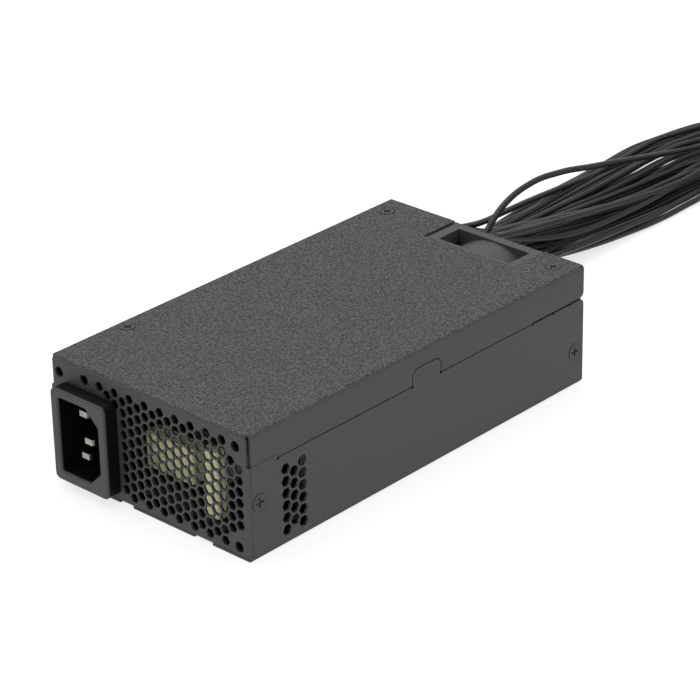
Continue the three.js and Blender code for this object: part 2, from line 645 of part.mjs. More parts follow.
// Bunches of wires: out of the grommet, down to the surface, along it and round in one wide turn
// to their connectors. Each bunch holds 4 to 6 wires.
const STRANDS = {
  atx_strand_1: [
    [-19.5, 70, 11], [-19.5, 80, 11], [-19.5, 92, 10.6], [-19.5, 105, 10], [-19.5, 119, 9.2], [-19.5, 134, 8],
    [-19.5, 152, 6.2], [-19.5, 171, 4.4], [-19.5, 190, 3.2], [-19.5, 209, 3.2], [-18.5, 226, 3.2],
    [-10.5, 239.5, 3.2], [3.5, 245, 3.2], [17.5, 239, 3.2], [23.5, 226, 3.2], [25.5, 209, 3.6], [25.5, 190.5, 5],
  ],
  atx_strand_2: [
    [-19.5, 70, 26], [-19.5, 80, 26], [-19.5, 92, 25], [-19.5, 105, 23], [-19.7, 119, 20.5], [-20, 134, 17.8],
    [-20.5, 152, 14.8], [-21.2, 171, 12.2], [-22, 190, 10.2], [-22.5, 209, 9.8], [-21, 229, 9.8],
    [-12, 246, 9.6], [7, 254, 8.6], [26, 247, 6], [36, 229, 4], [38.5, 210, 3.8], [38.5, 190.5, 5],
  ],
  atx_strand_3: [
    [-19.5, 70, 18.5], [-19.5, 80, 18.5], [-20.2, 92, 17.5], [-21.3, 105, 15.7], [-24, 119, 13.1], [-25.6, 134, 10],
    [-26.4, 152, 6.8], [-27, 171, 4.2], [-27.5, 190, 3.2], [-28, 209, 3.2], [-27, 231, 3.2],
    [-17.5, 253, 3.2], [9, 262.5, 3.2], [34.5, 254, 3.2], [48.5, 234, 3.2], [51.5, 212, 3.6], [51.5, 190.5, 5],
  ],
  atx_strand_4: [
    [-26.5, 70, 18.5], [-26.5, 80, 18.5], [-26.8, 92, 18.2], [-27.6, 105, 17.8], [-28.8, 119, 17],
    [-29.8, 134, 15.4], [-31, 152, 13.2], [-32, 171, 11.2], [-33, 190, 10], [-33.5, 209, 9.8], [-33, 232, 9.8],
    [-22, 258, 9.4], [11, 271, 8.4], [43.5, 262.5, 6], [61.5, 240, 4], [64.5, 214, 3.6], [64.5, 190.5, 5],
  ],
  cpu_strand_1: [
    [-26.5, 70, 11], [-26.5, 80, 11], [-27.7, 92, 10.2], [-29.8, 105, 8.8], [-32.2, 119, 7.4], [-34.3, 134, 6],
    [-36.2, 152, 4.6], [-37.8, 171, 3.6], [-39, 190, 3.2], [-39.5, 211, 3.2], [-39, 235, 3.2],
    [-27, 265, 3.2], [13, 279.5, 3.2], [52, 270.5, 3.2], [72, 246, 3.2], [76, 228, 3.6], [76, 210.5, 5],
  ],
  cpu_strand_2: [
    [-33, 70, 26], [-33, 80, 26], [-34, 92, 24.2], [-35.2, 105, 21], [-36.8, 119, 17], [-38.8, 134, 14.4],
    [-40.8, 152, 12.4], [-42.5, 171, 11], [-44, 190, 10], [-45, 211, 9.8], [-45, 238, 9.8],
    [-32, 271, 9.2], [15, 288, 8.4], [59, 278, 6], [80, 251, 4], [84, 230, 3.8], [84, 210.5, 5],
  ],
  sata_strand: [
    [-32.8, 70, 18.5], [-32.8, 80, 18.5], [-34.6, 92, 17], [-37, 105, 14.2], [-39.9, 119, 11], [-42.9, 134, 8],
    [-45.6, 152, 5.6], [-47.8, 171, 4], [-49.5, 190, 3.2], [-50.5, 211, 3.2], [-51, 240, 3.2],
    [-37, 277, 3.2], [16, 296.5, 3.2], [70, 286, 3.2], [96.5, 257, 3.2], [101, 233, 3.6], [101, 210.5, 4],
  ],
  peripheral_strand: [
    [-32.6, 70, 11], [-32.8, 80, 11], [-36.5, 92, 9.6], [-41, 105, 7.6], [-45.5, 118, 5.6], [-49.5, 133, 4.2],
    [-53, 150, 3.4], [-55.5, 169, 3.2], [-57.5, 188, 3.2], [-59, 211, 3.2], [-59.5, 241, 3.2],
    [-44, 283, 3.2], [18, 305, 3.2], [83, 294.5, 3.2], [117, 265, 3.2], [123.5, 237, 3.6], [123.5, 210.5, 5],
  ],
};

// A crimp-terminal housing lying on its side, with two rows of square ways open towards -Y.
function powerConnector(x, face, ways) {
  const pitch = 4.2;
  const half = (ways * pitch) / 2 + 0.5;
  const body = prism('y', rectangle([x - half, x + half], [0.2, 9.8], 0.6, 1), face - 14.6, face);
  const sockets = [];
  for (let way = 0; way < ways; way += 1) {
    const u = x + (way - (ways - 1) / 2) * pitch;
    [2.9, 7.1].forEach((z) => sockets.push(box([u - 1.5, u + 1.5], [face - 20, face - 5], [z - 1.5, z + 1.5])));
  }
  return cut(body, sockets);
}

// The lever that locks a housing to its socket: a rocking plate with a hook over the mating face.
function latch(x, face, wide) {
  const low = face - 16.4;
  const side = outline([
    [low, 9], [low + 1.4, 9], [low + 1.6, 11.2], [face - 8.2, 11.2], [face - 7.8, 10.1], [face - 6.8, 10.1],
    [face - 6.4, 11.2], [face - 0.6, 11.2], [face - 0.6, 12.6], [low, 12.6],
  ]);
  return prism('x', side, x - wide / 2, x + wide / 2);
}

function sataConnector(x, face) {
  const body = box([x - 10.8, x + 10.8], [face - 9, face], [0.2, 7]);
  const nose = prism('y', rectangle([x - 9.8, x + 9.8], [1.2, 5.8], 0.5, 1), face - 15, face - 8.9);
  const slot = box([x - 8.6, x + 8.6], [face - 16, face - 9.4], [2.6, 3.9]);
  const key = box([x - 8.6, x - 7.2], [face - 16, face - 9.4], [2.6, 5.2]);
  return cut(join([body, nose]), [slot, key]);
}

function peripheralConnector(x, face) {
  const shape = outline([
    [x - 10.5, 0.2], [x + 10.5, 0.2], [x + 10.5, 6.6], [x + 8.5, 9], [x - 8.5, 9], [x - 10.5, 6.6],
  ]);
  const ways = [-1.5, -0.5, 0.5, 1.5].map((step) => rod('y', [x + step * 5.08, 4.6], 1.7, face - 21, face - 6, 10));
  return cut(prism('y', shape, face - 20, face), ways);
}

function addCables() {
  add('cable_grommet', 'nylon_black', cableGrommet());
  Object.entries(STRANDS).forEach(([name, points]) => {
    addGeometry(name, 'wire_black', tubeAlong(points, STRAND, 8, 22));
  });
  const shortEnd = CONNECTOR_FACE;
  const longEnd = CONNECTOR_FACE + 20;
  add('atx_connector', 'nylon_black', powerConnector(45, shortEnd, 12));
  add('atx_latch', 'nylon_black', latch(45, shortEnd, 7));
  add('cpu_connector', 'nylon_black', powerConnector(80, longEnd, 4));
  add('cpu_latch', 'nylon_black', latch(80, longEnd, 6));
  add('sata_connector', 'nylon_black', sataConnector(101, longEnd));
  add('peripheral_connector', 'nylon_black', peripheralConnector(123.5, longEnd));
  const lead = [[-13.3, 66, 14], [-16, 64, 13], [-18, 60, 11], [-18.5, 56, 9], [-18.5, 53.5, 7.6]];
  addGeometry('fan_lead', 'wire_black', tubeAlong(lead, 2, 8, 8));
}

// ---------------------------------------------------------------- assembly

add('chassis_tray', 'black_coat', makeTray());
add('top_cover', 'black_coat', makeCover());
addScrews();
add('ac_inlet', 'black_plastic', makeInlet());
Object.entries(PINS).forEach(([name, at]) => {
  add(name, 'tinned_pin', makePin(at, name === 'inlet_pin_earth' ? PIN.earthTip : PIN.tip));
});
addBoard();
addPrimarySide();
addSecondarySide();
addFan();
addCables();

export default unit;
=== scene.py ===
"""Looks of a Flex-ATX power supply unit: wires, materials, edges, floor, light and camera. Metres."""

import json
from math import cos, pi, radians, sin

import bpy
from mathutils import Matrix, Vector


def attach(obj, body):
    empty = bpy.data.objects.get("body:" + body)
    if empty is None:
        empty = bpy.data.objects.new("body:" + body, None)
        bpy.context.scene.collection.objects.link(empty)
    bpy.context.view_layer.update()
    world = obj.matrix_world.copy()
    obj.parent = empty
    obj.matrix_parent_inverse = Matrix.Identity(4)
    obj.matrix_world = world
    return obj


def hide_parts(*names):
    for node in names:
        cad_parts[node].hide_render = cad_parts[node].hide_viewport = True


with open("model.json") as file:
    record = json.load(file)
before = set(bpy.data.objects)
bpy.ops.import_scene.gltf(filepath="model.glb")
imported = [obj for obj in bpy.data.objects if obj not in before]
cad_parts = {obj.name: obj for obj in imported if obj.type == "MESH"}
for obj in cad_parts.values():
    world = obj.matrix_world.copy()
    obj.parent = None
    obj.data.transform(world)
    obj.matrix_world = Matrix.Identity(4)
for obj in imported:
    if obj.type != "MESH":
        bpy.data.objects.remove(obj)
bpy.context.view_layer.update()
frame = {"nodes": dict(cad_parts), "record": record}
nodes = frame["nodes"]
MM = 0.001

# ------------------------------------------------------------------ camera

CAMERA_AZIMUTH = radians(43.144)  # from the inlet face's normal towards the right wall
CAMERA_ELEVATION = radians(26.383)
CAMERA_ROLL = radians(-1.214)
CAMERA_DISTANCE = 905.58 * MM
CAMERA_TARGET = Vector((-2.926, 14.175, 20.0)) * MM
CAMERA_LENS = 150.23
SENSOR = 36


def make_camera():
    data = bpy.data.cameras.new("camera")
    data.lens = CAMERA_LENS
    data.sensor_width = SENSOR
    data.clip_start = 0.01
    camera = bpy.data.objects.new("camera", data)
    bpy.context.scene.collection.objects.link(camera)
    back = Vector(
        (
            sin(CAMERA_AZIMUTH) * cos(CAMERA_ELEVATION),
            -cos(CAMERA_AZIMUTH) * cos(CAMERA_ELEVATION),
            sin(CAMERA_ELEVATION),
        )
    )
    level = Vector((cos(CAMERA_AZIMUTH), sin(CAMERA_AZIMUTH), 0))
    rise = back.cross(level)
    right = level * cos(CAMERA_ROLL) + rise * sin(CAMERA_ROLL)
    up = back.cross(right)
    camera.matrix_world = Matrix.Translation(CAMERA_TARGET + back * CAMERA_DISTANCE) @ Matrix(
        (
            (right.x, up.x, back.x, 0),
            (right.y, up.y, back.y, 0),
            (right.z, up.z, back.z, 0),
            (0, 0, 0, 1),
        )
    )
    bpy.context.scene.camera = camera


make_camera()

# ------------------------------------------------------------------ wires

WIRE = 2.2  # diameter of a power wire, mm
THIN_WIRE = 1.7  # diameter of a signal wire, mm
WIRE_PITCH = 4.2  # between the ways of a crimp connector
SATA_PITCH = 3.6
PERIPHERAL_PITCH = 5.08

# The middle of each bunch, in mm, as the frame's own solids run.
STRANDS = {
    "atx_strand_1": [
        (-19.5, 70, 11), (-19.5, 80, 11), (-19.5, 92, 10.6), (-19.5, 105, 10), (-19.5, 119, 9.2),
        (-19.5, 134, 8), (-19.5, 152, 6.2), (-19.5, 171, 4.4), (-19.5, 190, 3.2), (-19.5, 209, 3.2),
        (-18.5, 226, 3.2), (-10.5, 239.5, 3.2), (3.5, 245, 3.2), (17.5, 239, 3.2), (23.5, 226, 3.2),
        (25.5, 209, 3.6), (25.5, 190.5, 5),
    ],
    "atx_strand_2": [
        (-19.5, 70, 26), (-19.5, 80, 26), (-19.5, 92, 25), (-19.5, 105, 23), (-19.7, 119, 20.5),
        (-20, 134, 17.8), (-20.5, 152, 14.8), (-21.2, 171, 12.2), (-22, 190, 10.2), (-22.5, 209, 9.8),
        (-21, 229, 9.8), (-12, 246, 9.6), (7, 254, 8.6), (26, 247, 6), (36, 229, 4),
        (38.5, 210, 3.8), (38.5, 190.5, 5),
    ],
    "atx_strand_3": [
        (-19.5, 70, 18.5), (-19.5, 80, 18.5), (-20.2, 92, 17.5), (-21.3, 105, 15.7), (-24, 119, 13.1),
        (-25.6, 134, 10), (-26.4, 152, 6.8), (-27, 171, 4.2), (-27.5, 190, 3.2), (-28, 209, 3.2),
        (-27, 231, 3.2), (-17.5, 253, 3.2), (9, 262.5, 3.2), (34.5, 254, 3.2), (48.5, 234, 3.2),
        (51.5, 212, 3.6), (51.5, 190.5, 5),
    ],
    "atx_strand_4": [
        (-26.5, 70, 18.5), (-26.5, 80, 18.5), (-26.8, 92, 18.2), (-27.6, 105, 17.8), (-28.8, 119, 17),
        (-29.8, 134, 15.4), (-31, 152, 13.2), (-32, 171, 11.2), (-33, 190, 10), (-33.5, 209, 9.8),
        (-33, 232, 9.8), (-22, 258, 9.4), (11, 271, 8.4), (43.5, 262.5, 6), (61.5, 240, 4),
        (64.5, 214, 3.6), (64.5, 190.5, 5),
    ],
    "cpu_strand_1": [
        (-26.5, 70, 11), (-26.5, 80, 11), (-27.7, 92, 10.2), (-29.8, 105, 8.8), (-32.2, 119, 7.4),
        (-34.3, 134, 6), (-36.2, 152, 4.6), (-37.8, 171, 3.6), (-39, 190, 3.2), (-39.5, 211, 3.2),
        (-39, 235, 3.2), (-27, 265, 3.2), (13, 279.5, 3.2), (52, 270.5, 3.2), (72, 246, 3.2),
        (76, 228, 3.6), (76, 210.5, 5),
    ],
    "cpu_strand_2": [
        (-33, 70, 26), (-33, 80, 26), (-34, 92, 24.2), (-35.2, 105, 21), (-36.8, 119, 17),
        (-38.8, 134, 14.4), (-40.8, 152, 12.4), (-42.5, 171, 11), (-44, 190, 10), (-45, 211, 9.8),
        (-45, 238, 9.8), (-32, 271, 9.2), (15, 288, 8.4), (59, 278, 6), (80, 251, 4),
        (84, 230, 3.8), (84, 210.5, 5),
    ],
    "sata_strand": [
        (-32.8, 70, 18.5), (-32.8, 80, 18.5), (-34.6, 92, 17), (-37, 105, 14.2), (-39.9, 119, 11),
        (-42.9, 134, 8), (-45.6, 152, 5.6), (-47.8, 171, 4), (-49.5, 190, 3.2), (-50.5, 211, 3.2),
        (-51, 240, 3.2), (-37, 277, 3.2), (16, 296.5, 3.2), (70, 286, 3.2), (96.5, 257, 3.2),
        (101, 233, 3.6), (101, 210.5, 4),
    ],
    "peripheral_strand": [
        (-32.6, 70, 11), (-32.8, 80, 11), (-36.5, 92, 9.6), (-41, 105, 7.6), (-45.5, 118, 5.6),
        (-49.5, 133, 4.2), (-53, 150, 3.4), (-55.5, 169, 3.2), (-57.5, 188, 3.2), (-59, 211, 3.2),
        (-59.5, 241, 3.2), (-44, 283, 3.2), (18, 305, 3.2), (83, 294.5, 3.2), (117, 265, 3.2),
        (123.5, 237, 3.6), (123.5, 210.5, 5),
    ],
}


# Middles of the connectors across the floor, and heights of the two rows of ways, mm.
ATX_X = 45
CPU_X = 80
SATA_X = 101
PERIPHERAL_X = 123.5
ROWS = (2.9, 7.1)
ATX_COLUMNS = 12
CPU_COLUMNS = 4


def two_row_ways(middle, columns, first, count):
    """Some ways (x, z) of a two-row connector, taken column by column from the column first on."""
    ways = []
    for column in range(first, columns):
        for row in ROWS:
            ways.append((middle + (column - (columns - 1) / 2) * WIRE_PITCH, row))
    return ways[:count]


def one_row_ways(middle, pitch, count, height):
    return [(middle + (way - (count - 1) / 2) * pitch, height) for way in range(count)]


# bunch: connector, its wires' ways in it (x, z) in mm, wire diameter in mm and real length in metres
CABLES = {
    "atx_strand_1": ("atx_connector", two_row_ways(ATX_X, ATX_COLUMNS, 0, 6), WIRE, 0.26),
    "atx_strand_2": ("atx_connector", two_row_ways(ATX_X, ATX_COLUMNS, 3, 6), WIRE, 0.285),
    "atx_strand_3": ("atx_connector", two_row_ways(ATX_X, ATX_COLUMNS, 6, 6), WIRE, 0.315),
    "atx_strand_4": ("atx_connector", two_row_ways(ATX_X, ATX_COLUMNS, 9, 5), WIRE, 0.345),
    "cpu_strand_1": ("cpu_connector", two_row_ways(CPU_X, CPU_COLUMNS, 0, 4), WIRE, 0.355),
    "cpu_strand_2": ("cpu_connector", two_row_ways(CPU_X, CPU_COLUMNS, 2, 4), WIRE, 0.38),
    "sata_strand": ("sata_connector", one_row_ways(SATA_X, SATA_PITCH, 5, 3.6), THIN_WIRE, 0.415),
    "peripheral_strand": (
        "peripheral_connector",
        one_row_ways(PERIPHERAL_X, PERIPHERAL_PITCH, 4, 4.6),
        THIN_WIRE,
        0.455,
    ),
}

# How the wires of a bunch lie round its middle; spreads are in wire diameters, the rest in mm.
PACKED_SPREAD = 1.06  # in a ring at the exit
COLUMN_SPREAD = 1.35  # in loose columns and rows further on
ROW_SPREAD = 0.98
UPPER_LAYER = 6  # a bunch whose middle runs higher than this at HALFWAY lies on the others
HALFWAY = 8
UPPER_DROP = 3.2
LOWER_DROP = 2.0
SIDE_WANDER = 1.8
UPPER_RISE_WANDER = 2.6
LOWER_RISE_WANDER = 1.2
OPENS = (1, 6)  # route points between which a bunch loosens
CALMS = (12, 15)  # and those between which its wander dies away
CLOSES = (13, 15.4)  # and those between which each wire finds its own way
FIRST_CLOSED = 14
LEAD_IN = 24  # how far before the end a wire may already stand in line with its way
INSERTED = 1.2  # how far the wire's end reaches past the bunch's
FLOOR_CLEARANCE = 0.15


def blend(low, high, value):
    """0 below low, 1 above high, smooth between."""
    t = min(1.0, max(0.0, (value - low) / (high - low)))
    return t * t * (3 - 2 * t)


def wander(seed, index, step):
    """A slow, repeatable sideways drift between -1 and 1."""
    phase = seed * 2.399 + index * 1.618
    return sin(phase * 3 + step * 0.55) * 0.6 + sin(phase * 7 + step * 0.31) * 0.4


def wire_points(strand, seed, index, count, place, diameter):
    """Points of one wire: packed at the exit, loose in the middle, in its own way at the connector."""
    centre = [Vector(point) for point in STRANDS[strand]]
    last = len(centre) - 1
    end = centre[last].y
    around = 2 * pi * index / max(1, count - 1)
    packed = Vector((cos(around), sin(around))) * diameter * PACKED_SPREAD
    if index == count - 1:
        packed = Vector((0, 0))
    upper = centre[HALFWAY].z > UPPER_LAYER
    drop = UPPER_DROP if upper else LOWER_DROP
    rise = UPPER_RISE_WANDER if upper else LOWER_RISE_WANDER
    loose = Vector(((index % 3 - 1) * diameter * COLUMN_SPREAD, (index // 3) * diameter * ROW_SPREAD - drop))
    points = []
    for step, middle in enumerate(centre):
        ahead = centre[min(step + 1, last)] - centre[max(step - 1, 0)]
        side = Vector((ahead.y, -ahead.x, 0)).normalized()
        opening = blend(*OPENS, step)
        drift = opening * (1 - blend(*CALMS, step))
        offset = packed.lerp(loose, opening)
        lateral = offset.x + wander(seed, index, step) * SIDE_WANDER * drift
        vertical = offset.y + wander(seed + 5, index, step) * rise * drift
        point = middle + side * lateral + Vector((0, 0, vertical))
        if step >= FIRST_CLOSED:
            reach = end - INSERTED if step == last else min(point.y, end + LEAD_IN)
            point = point.lerp(Vector((place[0], reach, place[1])), blend(*CLOSES, step))
        point.z = max(point.z, diameter / 2 + FLOOR_CLEARANCE)
        points.append(point * MM)
    return points


def make_curve(name, points, diameter):
    data = bpy.data.curves.new(name, "CURVE")
    data.dimensions = "3D"
    data.bevel_depth = 1.0  # scaled at each point by that point's radius, so the curve's box fits the wire
    data.bevel_resolution = 3
    data.resolution_u = 8
    data.use_fill_caps = True
    spline = data.splines.new("BEZIER")
    spline.bezier_points.add(len(points) - 1)
    for handle, point in zip(spline.bezier_points, points):
        handle.co = point
        handle.radius = diameter / 2 * MM
        handle.handle_left_type = "AUTO"
        handle.handle_right_type = "AUTO"
    curve = bpy.data.objects.new(name, data)
    bpy.context.scene.collection.objects.link(curve)
    return curve


# One wire stands proud of the bundle just behind the exit: its height over the bunch at each route point, mm.
ARCH_WIRE = ("atx_strand_4", 4)
ARCH_RISE = {2: -3, 3: 0.5, 4: 9.5, 5: 13.8, 6: 14.2, 7: 12, 8: 9, 9: 5}


def make_wires():
    wires = []
    for seed, (strand, (connector, ways, diameter, length)) in enumerate(CABLES.items()):
        for index, place in enumerate(ways):
            points = wire_points(strand, seed, index, len(ways), place, diameter)
            if (strand, index) == ARCH_WIRE:
                for step, rise in ARCH_RISE.items():
                    points[step] = (Vector(STRANDS[strand][step]) + Vector((0, 0, rise))) * MM
            name = strand.replace("_strand", "_wire") + f"_{index + 1}"
            wire = make_curve(name, points, diameter)
            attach(wire, "housing")
            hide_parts(strand)
            wires.append(wire)
    return wires


wires = make_wires()

# ------------------------------------------------------------------ materials


def new_material(name):
    material = bpy.data.materials.new(name)
    material.use_nodes = True
    return material, material.node_tree.nodes, material.node_tree.links


def noise(tree_nodes, links, scale, detail=2.0, stretch=None):
    """A noise texture in the object's own metres, stretched along an axis if asked."""
    place = tree_nodes.new("ShaderNodeTexCoord")
    texture = tree_nodes.new("ShaderNodeTexNoise")
    texture.inputs["Scale"].default_value = scale
    texture.inputs["Detail"].default_value = detail
    if stretch is None:
        links.new(place.outputs["Object"], texture.inputs["Vector"])
    else:
        mapping = tree_nodes.new("ShaderNodeMapping")
        mapping.inputs["Scale"].default_value = stretch
        links.new(place.outputs["Object"], mapping.inputs["Vector"])
        links.new(mapping.outputs["Vector"], texture.inputs["Vector"])
    return texture


def ramp(tree_nodes, links, source, stops):
    """Stops are (position, grey or colour)."""
    node = tree_nodes.new("ShaderNodeValToRGB")
    elements = node.color_ramp.elements
    while len(elements) < len(stops):
        elements.new(0.5)
    for element, (position, colour) in zip(elements, stops):
        element.position = position
        element.color = (*colour, 1) if isinstance(colour, tuple) else (colour, colour, colour, 1)
    links.new(source, node.inputs["Fac"])
    return node.outputs["Color"]


def shade(colour, factor):
    return tuple(channel * factor for channel in colour)


def bumpy(tree_nodes, links, height, distance, strength):
    bump = tree_nodes.new("ShaderNodeBump")
    bump.inputs["Distance"].default_value = distance
    bump.inputs["Strength"].default_value = strength
    links.new(height, bump.inputs["Height"])
    return bump.outputs["Normal"]


def surface(name, colour, roughness, metallic=0.0, grain=900.0, mottle=0.12, bump=0.00003, strength=0.3,
            specular=0.5, spread=0.06, stretch=None, coat=0.0):
    """The common shader: mottled colour, uneven roughness and a fine bump."""
    material, tree_nodes, links = new_material(name)
    shader = tree_nodes["Principled BSDF"]
    shader.inputs["Metallic"].default_value = metallic
    shader.inputs["Specular IOR Level"].default_value = specular
    shader.inputs["Coat Weight"].default_value = coat
    fine = noise(tree_nodes, links, grain, 3.0, stretch)
    broad = noise(tree_nodes, links, grain / 40, 2.0, stretch)
    tint = ramp(tree_nodes, links, fine.outputs["Fac"],
                [(0.3, shade(colour, 1 - mottle)), (0.7, shade(colour, 1 + mottle))])
    links.new(tint, shader.inputs["Base Color"])
    gloss = ramp(tree_nodes, links, broad.outputs["Fac"],
                 [(0.3, roughness - spread), (0.7, roughness + spread)])
    links.new(gloss, shader.inputs["Roughness"])
    links.new(bumpy(tree_nodes, links, fine.outputs["Fac"], bump, strength), shader.inputs["Normal"])
    return material


def coordinates(tree_nodes, links, output):
    """The x, y and z of one of the texture coordinates."""
    place = tree_nodes.new("ShaderNodeTexCoord")
    parts = tree_nodes.new("ShaderNodeSeparateXYZ")
    links.new(place.outputs[output], parts.inputs["Vector"])
    return parts.outputs


def mixed(tree_nodes, links, factor):
    """A colour mix node driven by factor."""
    mix = tree_nodes.new("ShaderNodeMix")
    mix.data_type = "RGBA"
    links.new(factor, mix.inputs["Factor"])
    return mix


COAT = (0.045, 0.0453, 0.047)


def powder_coat():
    """Black powder coat with pebbles about half a millimetre across; on the faces that look up they get
    painted light and shade.
    """
    material, tree_nodes, links = new_material("powder_coat")
    shader = tree_nodes["Principled BSDF"]
    shader.inputs["Specular IOR Level"].default_value = 0.35
    shader.inputs["Roughness"].default_value = 0.55
    grain = noise(tree_nodes, links, 1500.0, 4.0)
    # On faces that look up the pebbles get painted light and shade, from nearly black to a bright grey.
    painted_pebble_shading = ramp(tree_nodes, links, grain.outputs["Fac"],
                  [(0.41, shade(COAT, 0.1)), (0.59, shade(COAT, 1.35))])
    weak = ramp(tree_nodes, links, grain.outputs["Fac"],
                [(0.3, shade(COAT, 0.88)), (0.7, shade(COAT, 1.08))])
    facing = coordinates(tree_nodes, links, "Normal")
    top_shading_mask = ramp(tree_nodes, links, facing["Z"], [(0.5, 0.0), (0.9, 1.0)])
    tint = mixed(tree_nodes, links, top_shading_mask)
    links.new(weak, tint.inputs["A"])
    links.new(painted_pebble_shading, tint.inputs["B"])
    links.new(tint.outputs["Result"], shader.inputs["Base Color"])
    links.new(bumpy(tree_nodes, links, grain.outputs["Fac"], 0.00015, 0.5), shader.inputs["Normal"])
    return material


SOCKET_MOUTH = -79.7  # y in mm; behind it the inlet's plastic is darkened to black as painted shade
MOUTH_BLUR = 0.3
INLET_END = -50  # y behind the inlet's body, so that the fan keeps the plain plastic
SOCKET_PAINTED_SHADE = (0.004, 0.004, 0.0045, 1)


def inlet_plastic():
    """Matte grey-black on the inlet's face and on the fan; behind the inlet's face, in the socket, painted
    shade makes it black and less shiny.
    """
    material = surface("moulded_plastic", (0.045, 0.045, 0.048), 0.5, grain=3500, bump=0.00002, specular=0.35)
    tree_nodes, links = material.node_tree.nodes, material.node_tree.links
    shader = tree_nodes["Principled BSDF"]
    tint = shader.inputs["Base Color"].links[0].from_socket
    place = coordinates(tree_nodes, links, "Object")
    behind = tree_nodes.new("ShaderNodeMapRange")
    behind.inputs["From Min"].default_value = (SOCKET_MOUTH - MOUTH_BLUR) * MM
    behind.inputs["From Max"].default_value = (SOCKET_MOUTH + MOUTH_BLUR) * MM
    links.new(place["Y"], behind.inputs["Value"])
    near = tree_nodes.new("ShaderNodeMath")
    near.operation = "LESS_THAN"
    near.inputs[1].default_value = INLET_END * MM
    links.new(place["Y"], near.inputs[0])
    # Inside the socket the plastic is darkened and made less shiny as painted shade.
    socket_shade_mask = tree_nodes.new("ShaderNodeMath")
    socket_shade_mask.operation = "MULTIPLY"
    links.new(behind.outputs["Result"], socket_shade_mask.inputs[0])
    links.new(near.outputs["Value"], socket_shade_mask.inputs[1])
    socket_shaded_tint = mixed(tree_nodes, links, socket_shade_mask.outputs["Value"])
    links.new(tint, socket_shaded_tint.inputs["A"])
    socket_shaded_tint.inputs["B"].default_value = SOCKET_PAINTED_SHADE
    links.new(socket_shaded_tint.outputs["Result"], shader.inputs["Base Color"])
    gloss = tree_nodes.new("ShaderNodeMapRange")
    gloss.inputs["To Min"].default_value = 0.35
    gloss.inputs["To Max"].default_value = 0.08
    links.new(socket_shade_mask.outputs["Value"], gloss.inputs["Value"])
    links.new(gloss.outputs["Result"], shader.inputs["Specular IOR Level"])
    return material


MATERIALS = {
    "black_coat": powder_coat(),
    "screw_black": surface("black_oxide", (0.03, 0.03, 0.031), 0.42, metallic=0.2, grain=1500),
    "black_plastic": inlet_plastic(),
    "tinned_pin": surface("tinned_brass", (0.32, 0.31, 0.29), 0.28, metallic=1.0, grain=600),
    # The solder mask's green is darkened nearly to black as painted shade deep in the case.
    "board_green": surface("solder_mask_painted_shade", (0.002, 0.011, 0.005), 0.4, grain=300, mottle=0.2, specular=0.1),
    "brass_standoff": surface("brass", (0.66, 0.48, 0.2), 0.3, metallic=1.0),
    "insulator": surface("insulator_film", (0.008, 0.008, 0.009), 0.5, specular=0.1),
    "yellow_tape": surface("polyester_tape", (0.93, 0.91, 0.53), 0.4, grain=500, mottle=0.08),
    "ferrite": surface("ferrite", (0.03, 0.03, 0.032), 0.55),
    # The heat sink's aluminium is darkened as painted shade deep in the case.
    "heatsink": surface("mill_aluminium_painted_shade", (0.3, 0.305, 0.31), 0.4, metallic=1.0, stretch=(1, 0.05, 1)),
    "epoxy_black": surface("epoxy", (0.012, 0.012, 0.013), 0.45),
    "capacitor_sleeve": surface("shrink_sleeve", (0.01, 0.012, 0.03), 0.35),
    "copper_coil": surface("enamelled_copper", (0.35, 0.14, 0.05), 0.35, metallic=0.8),
    "fuse_glass": surface("fuse_glass", (0.5, 0.52, 0.51), 0.15),
    "nylon_black": surface("nylon", (0.016, 0.016, 0.018), 0.42, grain=2500, bump=0.00002, specular=0.35),
    "wire_black": surface("pvc_wire", (0.009, 0.009, 0.0095), 0.36, grain=1200, mottle=0.15, bump=0.00002,
                          specular=0.32),
}


# Tape on the wound parts deep in the case is darkened as painted shade; the two capacitors at the vents are
# bright.
SHADED_TAPE = surface("painted_shade_tape", (0.035, 0.032, 0.015), 0.5)
WOUND_PARTS = ("common_mode_choke", "transformer_winding")


def paint():
    slot_of = {part["node"]: part["material_slot"] for part in frame["record"]["subparts"]}
    for name, node in nodes.items():
        node.data.materials.clear()
        node.data.materials.append(MATERIALS[slot_of[name]])
    for name in WOUND_PARTS:
        nodes[name].data.materials[0] = SHADED_TAPE
    for wire in wires:
        wire.data.materials.append(MATERIALS["wire_black"])


paint()

# ------------------------------------------------------------------ edges of the frame's solids


SHARP = radians(32)  # edges steeper than this are rounded or kept sharp
WELD = 0.002  # mm
COPLANAR = radians(0.5)


def smooth_by_angle():
    """A node group that shades faces smooth and keeps the sharp edges sharp."""
    group = bpy.data.node_groups.new("smooth_by_angle", "GeometryNodeTree")
    group.interface.new_socket("Geometry", in_out="INPUT", socket_type="NodeSocketGeometry")
    group.interface.new_socket("Geometry", in_out="OUTPUT", socket_type="NodeSocketGeometry")
    start = group.nodes.new("NodeGroupInput")
    end = group.nodes.new("NodeGroupOutput")
    faces = group.nodes.new("GeometryNodeSetShadeSmooth")
    edges = group.nodes.new("GeometryNodeSetShadeSmooth")
    edges.domain = "EDGE"
    angle = group.nodes.new("GeometryNodeInputMeshEdgeAngle")
    less = group.nodes.new("FunctionNodeCompare")
    less.operation = "LESS_THAN"
    less.inputs[1].default_value = SHARP
    group.links.new(start.outputs[0], faces.inputs["Geometry"])
    group.links.new(faces.outputs["Geometry"], edges.inputs["Geometry"])
    group.links.new(angle.outputs["Unsigned Angle"], less.inputs[0])
    group.links.new(less.outputs["Result"], edges.inputs["Shade Smooth"])
    group.links.new(edges.outputs["Geometry"], end.inputs[0])
    return group


SMOOTH = smooth_by_angle()

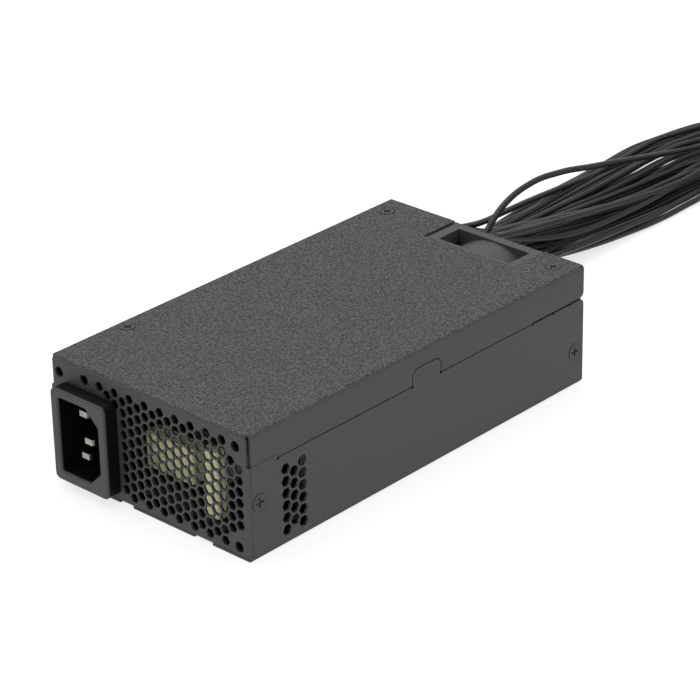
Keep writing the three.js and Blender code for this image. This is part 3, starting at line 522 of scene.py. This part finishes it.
# Width of the rounded edge in mm; other nodes take the last value.
EDGES = {
    "chassis_tray": 0.08, "top_cover": 0.05, "ac_inlet": 0.6, "fan_rotor": 0.12,
    "cable_grommet": 0.2, "atx_connector": 0.15, "cpu_connector": 0.15, "sata_connector": 0.2,
    "peripheral_connector": 0.25, "x_capacitor": 0.4, "transformer_winding": 0.5,
}
OTHER_EDGES = 0.1


def round_edges(node, width):
    weld = node.modifiers.new("weld", "WELD")
    weld.merge_threshold = WELD * MM
    flat = node.modifiers.new("flat", "DECIMATE")
    flat.decimate_type = "DISSOLVE"
    flat.angle_limit = COPLANAR
    smooth = node.modifiers.new("smooth", "NODES")
    smooth.node_group = SMOOTH
    bevel = node.modifiers.new("edge", "BEVEL")
    bevel.width = width * MM
    bevel.segments = 2
    bevel.limit_method = "ANGLE"
    bevel.angle_limit = SHARP
    bevel.use_clamp_overlap = False
    bevel.harden_normals = True
    even = node.modifiers.new("even", "WEIGHTED_NORMAL")
    even.keep_sharp = True


SQUARE_EDGED = ("fan_frame",)  # its thin faces beside the fan opening leave no room for a rounded edge

for name, node in nodes.items():
    if name in SQUARE_EDGED:
        node.modifiers.new("smooth", "NODES").node_group = SMOOTH
    else:
        round_edges(node, EDGES.get(name, OTHER_EDGES))

# ------------------------------------------------------------------ floor and light

FLOOR_SIZE = 1.7  # metres
FLOOR_GLOW = 0.75  # the white ground is lit from behind, so it hardly takes a shadow


SKY = (0.45, 1.35)  # strength at the horizon and overhead
LIT_POINT = Vector((0, 0, 0.02))  # the softbox faces it


def make_floor():
    data = bpy.data.meshes.new("floor")
    half = FLOOR_SIZE / 2
    corners = [(-half, -half, 0), (half, -half, 0), (half, half, 0), (-half, half, 0)]
    data.from_pydata(corners, [], [(0, 1, 2, 3)])
    floor = bpy.data.objects.new("floor", data)
    bpy.context.scene.collection.objects.link(floor)
    material, tree_nodes, _ = new_material("studio_floor")
    shader = tree_nodes["Principled BSDF"]
    shader.inputs["Base Color"].default_value = (0.3, 0.3, 0.3, 1)
    shader.inputs["Roughness"].default_value = 0.9
    shader.inputs["Specular IOR Level"].default_value = 0.0
    shader.inputs["Emission Color"].default_value = (1, 1, 1, 1)
    shader.inputs["Emission Strength"].default_value = FLOOR_GLOW
    data.materials.append(material)


def make_world():
    """A white studio that is brightest overhead."""
    world = bpy.data.worlds.new("studio")
    world.use_nodes = True
    tree_nodes, links = world.node_tree.nodes, world.node_tree.links
    direction = coordinates(tree_nodes, links, "Generated")
    height = tree_nodes.new("ShaderNodeMapRange")
    height.inputs["To Min"].default_value = SKY[0]
    height.inputs["To Max"].default_value = SKY[1]
    links.new(direction["Z"], height.inputs["Value"])
    links.new(height.outputs["Result"], tree_nodes["Background"].inputs["Strength"])
    tree_nodes["Background"].inputs["Color"].default_value = (1, 1, 1, 1)
    bpy.context.scene.world = world


def make_softbox(name, place, size, power):
    data = bpy.data.lights.new(name, "AREA")
    data.shape = "RECTANGLE"
    data.size, data.size_y = size
    data.energy = power
    light = bpy.data.objects.new(name, data)
    bpy.context.scene.collection.objects.link(light)
    light.location = place
    light.rotation_mode = "QUATERNION"
    light.rotation_quaternion = (Vector(place) - LIT_POINT).to_track_quat("Z", "Y")


make_floor()
make_world()
make_softbox("overhead_light", (-0.3, 0.2, 1.1), (0.9, 0.9), 5.0)
bpy.context.scene.view_settings.view_transform = "Standard"
